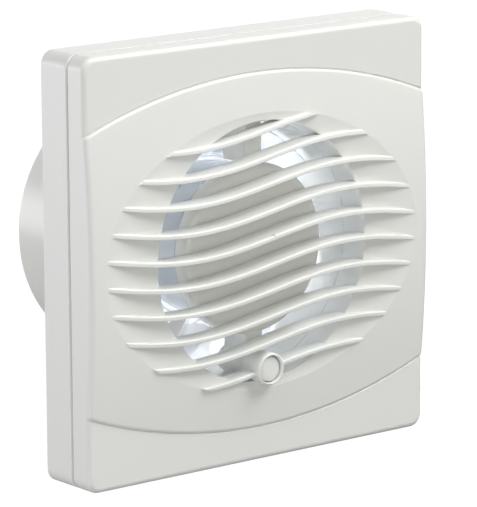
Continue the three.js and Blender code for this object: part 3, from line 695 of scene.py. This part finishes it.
# ---------- back casing ----------
def back_casing():
    """Tray with its lip, the block's seat, screw bosses, wall slots and cable entry."""
    body = prism("tray", outline_square(HALF, CORNER_R, 14), -CASING_FRONT, 0, 0.25, 0.5)
    body = joined(body, prism("lip", outline_square(75.2, 2.7), -18.4, -1, 0.3))
    body = cut(body, prism("inside", outline_square(73.7, 1.2), -60, -CASING_FLOOR))
    extras = [box("seat", (BLOCK_X - 9, BLOCK_X + 9), (-5, -2), (BLOCK_Z - 7, BLOCK_Z + 7), 0.4)]
    holes = [rod("hole", DUCT_R + 0.3, -60, 60, segments=180),
             prism("entry", outline_slot(ENTRY_X, ENTRY_Z, 7, 4.5), -10, 1)]
    for c, s in DIAGONALS:
        x, z = c * EAR_RADIUS, s * EAR_RADIUS
        extras.append(rod("boss", EAR_R, -6.2, -1, x, z, 0.3))
        holes.append(rod("pilot", 1.6, -60, -1.2, x, z))
        slot = outline_slot(math.copysign(WALL_SLOT_X, c), math.copysign(WALL_SLOT_Z, s), 4.4, 2.4)
        holes.append(prism("slot", slot, -10, 1))
    for z in CLAMP_SCREW_Z:
        extras.append(rod("post", 2.6, -8, -1, CLAMP_X, z, 0.3))
        holes.append(rod("pilot", 1.0, -10, -1.2, CLAMP_X, z))
    for x in (-TONGUE_X, TONGUE_X):
        holes.append(box("slot", (x - 7, x + 7), (-60, -CASING_FLOOR), (70.2, 73.9), 0.05))
    return cut(joined(body, *extras), *holes)


place("back_casing_moulding", back_casing(), "housing", WHITE, ["back_casing"])


# ---------- duct housing ----------
def motor_cup():
    """The cup with the stator's sleeve and the front bearing's pocket behind it."""
    sleeve_bore, cup_floor = STATOR_R + 0.3, 2 - CUP_FRONT
    return lathe("cup", [
        (0, -CUP_FRONT, 0), (CUP_R, -CUP_FRONT, 2.5), (CUP_R, -CUP_END, 0.3), (CUP_R - 1.8, -CUP_END, 0.3),
        (CUP_R - 1.8, cup_floor, 0.4), (SLEEVE_R, cup_floor, 0.4), (SLEEVE_R, 4, 0.2),
        (sleeve_bore, 4, 0.2), (sleeve_bore, cup_floor, 0.4), (6.5, cup_floor, 0.4), (6.5, -CUP_END, 0.3),
        (4.8, -CUP_END, 0.3), (4.8, -19.8, 0.1), (0, -19.8, 0)], 160, 6)


def strut(side):
    """A hollow strut from cup to duct, above (1) or below (-1); the leads lie in the upper one."""
    reach = sorted((side * (CUP_R - 1.5), side * (DUCT_R - 0.5)))
    beam = box("beam", (-3.8, 3.8), (-21.5, -8.5), reach, 0.5)
    return cut(beam, box("channel", (-2.1, 2.1), (-19.5, 0), reach, 0.1))


def duct_housing():
    """Duct, motor cup, struts, the cover screw's pillar and the four ears."""
    tube = lathe("tube", [
        (DUCT_INNER, -DUCT_FRONT, 0.4), (DUCT_R, -DUCT_FRONT, 0.4), (DUCT_R, SPIGOT, 0.7),
        (DUCT_INNER, SPIGOT, 0.7)], 200)
    braces = joined(strut(1), strut(-1), rod("pillar", 5.2, -21.5, -6, 0, BOSS_Z, 0.4))
    hub_space = rod("hub_space", HUB_R + 1, -CUP_END, 60, segments=96)
    inside, outside = OPENING_R - 0.3, OPENING_R + 7
    collar_space = lathe("collar_space", [
        (inside, -60, 0), (outside, -60, 0), (outside, -DUCT_FRONT, 0), (inside, -DUCT_FRONT, 0)])
    parts = [motor_cup(), cut(braces, hub_space, collar_space)]
    holes = [rod("pilot", 1.9, -60, -7, 0, BOSS_Z),
             box("window", (-2.1, 2.1), (-19.7, -15), (20, 32.3), 0.1),
             box("notch", (-2.1, 2.1), (-16.1, -9.5), (46.6, 50.4), 0.1)]
    for i, (c, s) in enumerate(DIAGONALS):
        x, z = c * EAR_RADIUS, s * EAR_RADIUS
        web = box("web", (DUCT_INNER + 0.4, EAR_RADIUS), (-9, -6.5), (-EAR_R, EAR_R), 0.3)
        parts.append(rod("ear", EAR_R, -9, -6.5, x, z, 0.3))
        parts.append(moved(web, about_y(45 + 90 * i)))
        holes.append(rod("ear_hole", 2.2, -60, 0, x, z))
    for degrees in MOTOR_SCREW_TURNS:
        parts.append(moved(rod("post", 3, -21, -12.3, MOTOR_SCREW_RADIUS, 0, 0.2), about_y(degrees)))
        holes.append(moved(rod("post_hole", 1.5, -20.8, 60, MOTOR_SCREW_RADIUS, 0), about_y(degrees)))
    return cut(joined(tube, *parts), *holes)


place("duct_housing_moulding", duct_housing(), "housing", CREAM, ["duct_housing"])


# ---------- impeller ----------
def blade(turn):
    """One twisted, cambered blade with a rounded edge all round, lofted from root to tip."""
    loops = []
    tip_start = 0.93  # share of the span where the tip begins to thin
    for s in [0, 0.2, 0.4, 0.6, 0.8, tip_start, 0.98, 1.0]:
        tip = max(0.0, (s - tip_start) / 0.07)
        radius = BLADE_ROOT_R + (BLADE_TIP_R - BLADE_ROOT_R) * s
        sweep, length = math.radians(46 - 6 * s), 19.5 - 4.5 * s
        half = 0.8 * math.sqrt(1 - 0.85 * tip * tip)
        loop = []
        for side in (1, -1):
            for c in np.linspace(-0.5, 0.5, 25) * side:
                edge = min(1.0, (0.5 - abs(c)) / 0.03)
                angle = math.radians(turn) + c * sweep
                camber = 2 * (0.25 - c * c)
                thickness = half * (0.25 + 0.75 * math.sqrt(edge * (2 - edge)))
                y = 3.6 + c * length + camber - side * thickness
                loop.append((radius * math.cos(angle), y, radius * math.sin(angle)))
        loops.append(loop)
    return loft("blade", loops, closed=False)


def impeller():
    """Hub cap and blades in one moulding."""
    lining = HUB_REAR - 2
    hub = lathe("hub", [
        (PRESSED_BORE, 12, 0), (5, 12, 0.3), (5, lining, 0.3), (HUB_INNER_R - 2, lining, 0.5),
        (HUB_INNER_R, lining - 2, 1.0), (HUB_INNER_R, -HUB_FRONT, 0.4), (HUB_R, -HUB_FRONT, 0.4),
        (HUB_R, HUB_REAR, 3.0), (5, HUB_REAR, 0.6), (5, 22, 0.4), (PRESSED_BORE, 22, 0.2)], 160, 6)
    return joined(hub, *[blade(360 * i / BLADES) for i in range(BLADES)])


place("impeller_moulding", impeller(), "rotor", CLEAR, ["impeller"], sharp=28)
clip = lathe("clip", [
    (PRESSED_BORE, 22.3, 0), (4.4, 22.3, 0.2), (4.4, 23.0, 0.2), (3.2, 23.3, 0.1),
    (PRESSED_BORE, 23.3, 0)], 64)
notches = [moved(box("notch", (2.0, 3.1), (22, 24), (-0.35, 0.35), 0.05), about_y(30 + 120 * i))
           for i in range(3)]
place("impeller_clip_fine", cut(clip, *notches), "rotor", STEEL, ["impeller_clip"])


# ---------- motor ----------
def motor_screw_holes(radius, front):
    """Tools for the holes that the two motor screws pass through."""
    holes = []
    for degrees in MOTOR_SCREW_TURNS:
        holes.append(moved(rod("hole", radius, front, 20, MOTOR_SCREW_RADIUS, 0), about_y(degrees)))
    return holes


def end_plate():
    """The disc behind the stator, with the rear bearing's housing."""
    plate = lathe("plate", [
        (2.4, 11, 0.2), (2.4, 9.5, 0), (4.8, 9.5, 0), (4.8, 4.3, 0.2), (SLEEVE_R, 4.3, 0.3),
        (SLEEVE_R, 6.3, 0.4), (6.5, 6.3, 0.8), (6.5, 11, 0.5)], 128)
    return cut(plate, *motor_screw_holes(1.5, 0))


def stamping(front, rear, inset):
    """One layer of the stator's stack, drawn in from its outline by inset."""
    inside, outside = YOKE_R + inset, STATOR_R - inset
    ring = [(inside, front, 0), (outside, front, 0), (outside, rear, 0), (inside, rear, 0)]
    layer = lathe("yoke", ring, 120)
    poles = []
    for i in range(4):
        pole = box("pole", (9, 22), (front, rear), (-5 + inset, 5 - inset))
        pole = cut(pole, box("slit", (8, 14), (front - 1, rear + 1), (2 - inset, 3.6 + inset)))
        poles.append(moved(pole, about_y(-90 * i)))
    bore = rod("bore", STATOR_BORE + inset, -20, 20, segments=96)
    return cut(joined(layer, *poles), bore, *motor_screw_holes(1.5 + inset, -20))


def stator():
    """Twenty stampings round a core that shows as the dark gaps between them."""
    sheets = [stamping(0.6 * i - STACK_LENGTH, 0.6 * i + 0.48 - STACK_LENGTH, 0) for i in range(20)]
    return joined(stamping(-STACK_LENGTH, 0, 0.06), *sheets)


def wound(r0, r1, y_range, z_range, wall, turns, depth=0.16):
    """A loop of wire round a pole, y_range by z_range outside, with the turns showing as ridges."""
    (y0, y1), (z0, z1) = y_range, z_range
    outer = rounded([(y0, z0, wall), (y1, z0, wall), (y1, z1, wall), (y0, z1, wall)], 8)
    section = [(wall, r1 - 0.1), (wall, r0 + 0.1)]
    span = (r1 - r0) / turns
    for i in range(turns):
        for a in np.linspace(0.0, math.pi, 6)[:-1]:
            section.append((depth * (1 - math.sin(a)), r0 + span * (i + a / math.pi)))
    section.append((depth, r1))
    points = np.array(outer)
    count = len(points)
    way_round = np.sign(signed_area(points))
    loops = []
    for i in range(count):
        tangent = points[(i + 1) % count] - points[i - 1]
        inward = np.array([-tangent[1], tangent[0]]) / np.linalg.norm(tangent) * way_round
        loops.append([(r, *(points[i] + inward * inset)) for inset, r in section])
    return loft("coil", loops)


place("motor_end_plate_moulding", end_plate(), "housing", WHITE, ["motor_end_plate"])
place("stator_stack", stator(), "housing", LAMINATION, ["stator_core"])
for i in range(4):
    coil = moved(wound(14.6, 19, (-15, 3), (-8, 8), 2.6, 11), about_y(-90 * i))
    place(f"coil_winding_{i + 1}", coil, "housing", COPPER, [f"coil_{i + 1}"])
    shade = moved(wound(12.1, 13.5, (-13.5, 1.5), (2.2, 6.5), 1.15, 1, 0.2), about_y(-90 * i))
    place(f"shading_ring_fine_{i + 1}", shade, "housing", COPPER, [f"shading_ring_{i + 1}"])

core = [(PRESSED_BORE, 0, 0), (PRESSED_BORE, -STACK_LENGTH, 0)]
for i in range(24):
    y = 0.5 * i - STACK_LENGTH
    core += [(ROTOR_R, y, 0), (ROTOR_R, y + 0.42, 0), (ROTOR_R - 0.08, y + 0.46, 0),
             (ROTOR_R - 0.08, y + 0.5, 0)]
place("rotor_stack", lathe("core", core, 96), "rotor", LAMINATION, ["rotor_core"])
for word, y in (("front", -14.6), ("rear", 0.3)):
    end_ring = lathe("ring", [(5, y, 0.3), (9.8, y, 0.4), (9.8, y + 2.3, 0.4), (5, y + 2.3, 0.3)], 96)
    place(f"rotor_end_ring_cast_{word}", end_ring, "rotor", ALUMINIUM,
          [f"rotor_end_ring_{word}"])
for word, y in (("front", -19.6), ("rear", 5.3)):
    bush = lathe("bush", [
        (BEARING_BORE, y, 0.2), (4.5, y, 0.3), (4.5, y + 4, 0.3), (BEARING_BORE, y + 4, 0.2)], 64)
    place(f"{word}_bearing_bush", bush, "housing", BRONZE, [f"{word}_bearing"])
shaft = lathe("shaft", [(0, -19.4, 0), (SHAFT_R, -19.4, 0.3), (SHAFT_R, 25, 0.4), (0, 25, 0)], 48)
place("motor_shaft_ground", shaft, "rotor", STEEL, ["motor_shaft"])


# ---------- terminal block, cable clamp and leads ----------
block = box("block", (BLOCK_X - 8, BLOCK_X + 8), (-17, -5.3), (BLOCK_Z - 6, BLOCK_Z + 6), 0.5)
divide = box("divide", (BLOCK_X - 0.4, BLOCK_X + 0.4), (-17.5, -15.5), (BLOCK_Z - 7, BLOCK_Z + 7), 0.1)
upright = Matrix.Rotation(math.pi / 2, 4, "X")
holes = [rod("well", 2.4, -18, -14, BLOCK_X + x, BLOCK_Z) for x in WAY_OFFSETS]
holes += [moved(rod("way", 1.3, BLOCK_Z - 7, BLOCK_Z + 7, BLOCK_X + x, 10.5), upright)
          for x in WAY_OFFSETS]
block = cut(block, *holes, divide)
place("terminal_block_moulding", block, "housing", BLOCK, ["terminal_block"])
for i, x in enumerate(WAY_OFFSETS):
    head = lathe("head", [(0, -16.4, 0), (2, -16.4, 0.3), (2, -14.3, 0.1), (0, -14.3, 0)], 48)
    head = cut(head, box("slot", (-2.5, 2.5), (-17, -15.6), (-0.3, 0.3)))
    head = moved(head, shift(BLOCK_X + x, 0, BLOCK_Z))
    place(f"terminal_screw_fine_{i + 1}", head, "housing", BRASS, [f"terminal_screw_{i + 1}"])
bar = box("bar", (CLAMP_X - 3, CLAMP_X + 3), (-11.3, -8.3), (56, 73.4), 0.5)
arch = box("arch", (CLAMP_X - 4, CLAMP_X + 4), (-9.8, 0), (61.8, 68.4), 0.6)
bar = cut(bar, arch, *[rod("hole", 1.5, -20, 0, CLAMP_X, z) for z in CLAMP_SCREW_Z])
place("cable_clamp_moulding", bar, "housing", BLOCK, ["cable_clamp"])


def smooth_route(points, steps):
    """A centripetal Catmull-Rom curve through the points."""
    points = [Vector(p) for p in points]
    points = [2 * points[0] - points[1], *points, 2 * points[-1] - points[-2]]
    curve = []
    for a, b, c, d in zip(points, points[1:], points[2:], points[3:]):
        t0, t1 = 0.0, (b - a).length ** 0.5
        t2 = t1 + (c - b).length ** 0.5
        t3 = t2 + (d - c).length ** 0.5
        for k in range(steps):
            t = t1 + (t2 - t1) * k / steps
            p = a * (t1 - t) / (t1 - t0) + b * (t - t0) / (t1 - t0)
            q = b * (t2 - t) / (t2 - t1) + c * (t - t1) / (t2 - t1)
            r = c * (t3 - t) / (t3 - t2) + d * (t - t2) / (t3 - t2)
            u = p * (t2 - t) / (t2 - t0) + q * (t - t0) / (t2 - t0)
            v = q * (t3 - t) / (t3 - t1) + r * (t - t1) / (t3 - t1)
            curve.append(u * (t2 - t) / (t2 - t1) + v * (t - t1) / (t2 - t1))
    return [*curve, points[-2]]


def lead(way_x, side):
    """A lead from the terminal block, over the duct and down the upper strut to the motor."""
    x, over = -side * LEAD_SPACING, 55 + side * 1.3
    route = smooth_route([
        (way_x, -10.5, BLOCK_Z - 3), (way_x, -10.5, BLOCK_Z - 8), (way_x - 3, -11.5 - side, BLOCK_Z - 10),
        (44 + side * 1.4, LEAD_HEIGHT, 51.5 + side * 1.4), (24, LEAD_HEIGHT, over), (8, LEAD_HEIGHT, over),
        (x + 1.6, LEAD_HEIGHT, 53 + side * 0.8), (x, LEAD_HEIGHT, 50), (x, -13, 46), (x, -17, 36),
        (x, -17.6, 31), (x, -17.6, 26.5), (x, -16.9, 22)], 9)
    turns = np.linspace(0, 2 * math.pi, 17)[:-1]
    loops = []
    across = Vector((1, 0, 0)).cross(route[1] - route[0]).normalized()
    for i, point in enumerate(route):
        along = (route[min(i + 1, len(route) - 1)] - route[max(i - 1, 0)]).normalized()
        across = (across - along * across.dot(along)).normalized()
        other = along.cross(across)
        loops.append([point + LEAD_R * (math.cos(a) * across + math.sin(a) * other) for a in turns])
    return loft("lead", loops, closed=False)


live, neutral = lead(BLOCK_X + 4, 1), lead(BLOCK_X - 4, -1)
place("live_lead_sleeve", live, "housing", BROWN, ["live_lead"], sharp=60)
place("neutral_lead_sleeve", neutral, "housing", BLUE, ["neutral_lead"], sharp=60)


# ---------- floor, light and camera ----------
FLOOR_HALF = 2.0  # metres
FLOOR_DEPTH = 1.0  # below the fan, which hangs on a wall
FILL = 0.13
BACKDROP = 1.05
SEEN_THROUGH = 0.4  # share of the backdrop that shows through clear plastic
WARM = (1.0, 1.0, 0.955)
COOL = (0.98, 0.985, 1.0)
LENS = 276.03  # millimetres
CAMERA_AT = (-0.8554, -1.0863, 0.2876)
YAW, PITCH, ROLL = 0.6727, 0.2087, -0.0062  # radians: to the right, down, and the camera's tilt


def direction(azimuth, elevation):
    """Unit vector from the fan; azimuth 0 faces the cover and grows towards its right-hand side."""
    a, e = math.radians(azimuth), math.radians(elevation)
    return Vector((math.sin(a) * math.cos(e), -math.cos(a) * math.cos(e), math.sin(e)))


def softbox(name, azimuth, elevation, power, colour=(1, 1, 1), size=0.9, distance=1.5):
    """A round soft light of this diameter, turned towards the origin, in watts and metres."""
    data = bpy.data.lights.new(name, "AREA")
    data.shape = "DISK"
    data.size = size
    data.energy = power
    data.color = colour
    light = bpy.data.objects.new(name, data)
    scene.collection.objects.link(light)
    away = direction(azimuth, elevation)
    light.location = away * distance
    light.rotation_euler = away.to_track_quat("Z", "Y").to_euler()
    light.visible_camera = light.visible_transmission = False


def studio():
    """A dim soft surround; it shows as plain white behind the fan and dimmer through clear plastic."""
    world = bpy.data.worlds.new("studio")
    scene.world = world
    world.use_nodes = True
    nodes, links = world.node_tree.nodes, world.node_tree.links
    fill = nodes["Background"]
    fill.inputs["Color"].default_value = (1, 1, 1, 1)
    fill.inputs["Strength"].default_value = FILL
    backdrop = nodes.new("ShaderNodeBackground")
    backdrop.inputs["Color"].default_value = (1, 1, 1, 1)
    backdrop.inputs["Strength"].default_value = BACKDROP
    path = nodes.new("ShaderNodeLightPath")
    through = nodes.new("ShaderNodeMath")
    through.operation = "MULTIPLY"
    through.inputs[1].default_value = SEEN_THROUGH
    links.new(path.outputs["Is Transmission Ray"], through.inputs[0])
    seen = nodes.new("ShaderNodeMath")
    seen.operation = "MAXIMUM"
    links.new(path.outputs["Is Camera Ray"], seen.inputs[0])
    links.new(through.outputs[0], seen.inputs[1])
    mix = nodes.new("ShaderNodeMixShader")
    links.new(seen.outputs[0], mix.inputs["Fac"])
    links.new(fill.outputs[0], mix.inputs[1])
    links.new(backdrop.outputs[0], mix.inputs[2])
    links.new(mix.outputs[0], nodes["World Output"].inputs["Surface"])


def floor():
    """A pale floor well below the fan; it casts no light on it."""
    turns = ((-1, -1), (1, -1), (1, 1), (-1, 1))
    corners = [(x * FLOOR_HALF, y * FLOOR_HALF, -FLOOR_DEPTH) for x, y in turns]
    plane = mesh_from("floor", corners, [(0, 1, 2, 3)])
    material, nodes, links, shader = new_material("floor")
    tone = ramp(nodes, links, noise(nodes, links, 3.0), 0, 1)
    pale = blend_colours(nodes, links, tone, (0.8, 0.8, 0.8), (0.78, 0.78, 0.78))
    links.new(pale, shader.inputs["Base Color"])
    shader.inputs["Roughness"].default_value = 0.9
    shader.inputs["Emission Color"].default_value = (1, 1, 1, 1)
    shader.inputs["Emission Strength"].default_value = 1.0
    plane.materials.append(material)
    piece = bpy.data.objects.new("floor", plane)
    scene.collection.objects.link(piece)
    piece.visible_diffuse = piece.visible_glossy = piece.visible_transmission = False


studio()
floor()
softbox("key", 45, 48, 17.8, WARM)
softbox("right_fill", 60, 5, 2.2, WARM)
softbox("front_fill", -30, 8, 5.6, WARM)
softbox("upper_left", -50, 50, 3.0)
softbox("lower_left", -60, -35, 9.0, COOL)
softbox("left_rear", -130, 3, 8.3, COOL)
softbox("overhead", 0, 85, 5.2, COOL)
softbox("right_rear", 142, 12, 1.4, COOL)
softbox("rear", 180, 0, 7.0, COOL)
# Daylight that reaches the impeller through the duct.
softbox("through_duct", 180, 0, 0.06, (0.9, 0.94, 1.0), 0.08, 0.028)

lens = bpy.data.cameras.new("camera")
lens.lens = LENS
lens.sensor_width = 36
lens.clip_start = 0.1
camera = bpy.data.objects.new("camera", lens)
scene.collection.objects.link(camera)
ahead = Vector((math.sin(YAW) * math.cos(PITCH), math.cos(YAW) * math.cos(PITCH), -math.sin(PITCH)))
right = Vector((math.cos(YAW), -math.sin(YAW), 0))
up = right.cross(ahead)
side = math.cos(ROLL) * right + math.sin(ROLL) * up
top = -math.sin(ROLL) * right + math.cos(ROLL) * up
camera.matrix_world = Matrix((side, top, -ahead)).transposed().to_4x4()
camera.location = CAMERA_AT
scene.camera = camera
scene.view_settings.view_transform = "Standard"
